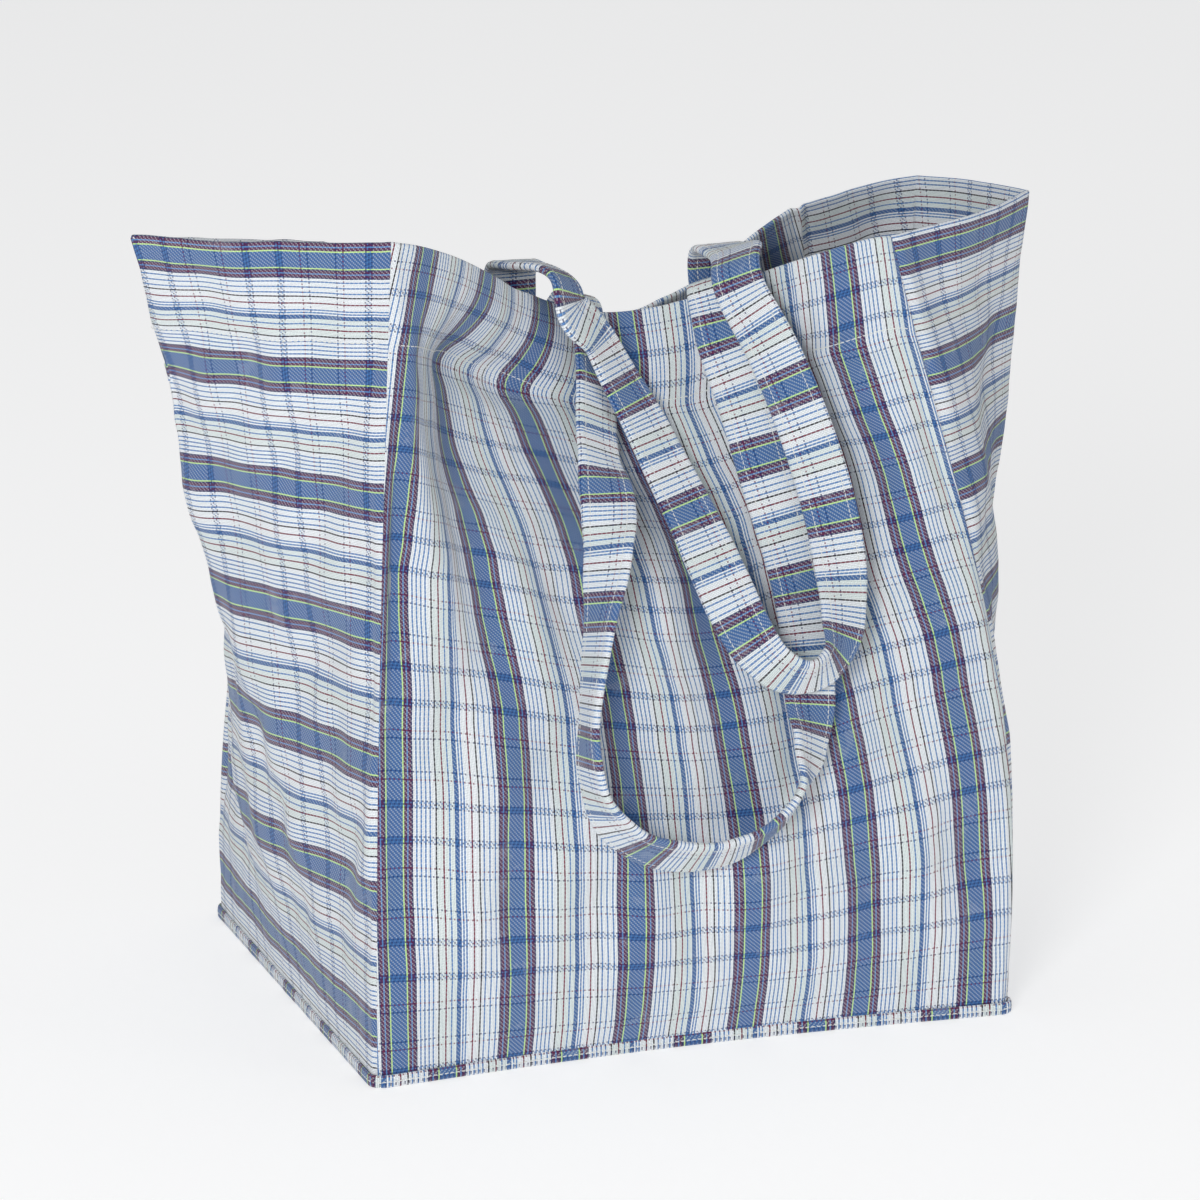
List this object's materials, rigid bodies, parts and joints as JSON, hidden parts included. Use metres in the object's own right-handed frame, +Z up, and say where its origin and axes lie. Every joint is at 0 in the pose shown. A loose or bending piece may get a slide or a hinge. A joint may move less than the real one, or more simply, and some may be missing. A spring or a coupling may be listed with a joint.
{
  "type": "cloth carrying sack",
  "caption": "Open upright carrying sack of plaid cotton twill: four sewn sides on a flat base, a turned hem and two long shoulder straps.",
  "frame": {"origin": "middle of the rectangular base, on the surface it stands on", "axes": "+X to the right along the front, -Y out of the front panel that the straps hang over, +Z up"},
  "size_m": [0.505, 0.3494, 0.451],
  "materials": {
    "plaid_cloth": "matt",
    "plaid_binding": "matt",
    "plaid_strap": "matt",
    "seam_tape": "matt",
    "webbing": "matt",
    "thread": "matt"
  },
  "bodies": {
    "bag": {"front_panel": "plaid_cloth", "back_panel": "plaid_cloth", "left_gusset": "plaid_cloth", "right_gusset": "plaid_cloth", "base_panel": "plaid_cloth", "base_edge_binding": "plaid_binding", "base_edge_stitching": "thread", "hem_stitching": "thread", "front_left_seam_binding": "seam_tape", "front_right_seam_binding": "seam_tape", "back_right_seam_binding": "seam_tape", "back_left_seam_binding": "seam_tape", "front_handle_left_end": "plaid_strap", "front_handle_right_end": "plaid_strap", "back_handle_left_end": "plaid_strap", "back_handle_right_end": "plaid_strap"},
    "front_handle": {"front_handle_cover": "plaid_strap", "front_handle_webbing": "webbing", "front_handle_stitching": "thread"},
    "back_handle": {"back_handle_cover": "plaid_strap", "back_handle_webbing": "webbing", "back_handle_stitching": "thread"}
  },
  "joints": [
    {"name": "front_handle_swing", "type": "hinge", "parent": "bag", "child": "front_handle", "pos_m": [0, -0.05134, 0.39827], "axis": [-1, 0, 0], "range_deg": [0, 160]},
    {"name": "back_handle_swing", "type": "hinge", "parent": "bag", "child": "back_handle", "pos_m": [0, -0.02802, 0.40927], "axis": [-1, 0, 0], "range_deg": [0, 160]}
  ],
  "couplings": [
    {"joint": "back_handle_swing", "follows": "front_handle_swing", "ratio": 1}
  ]
}
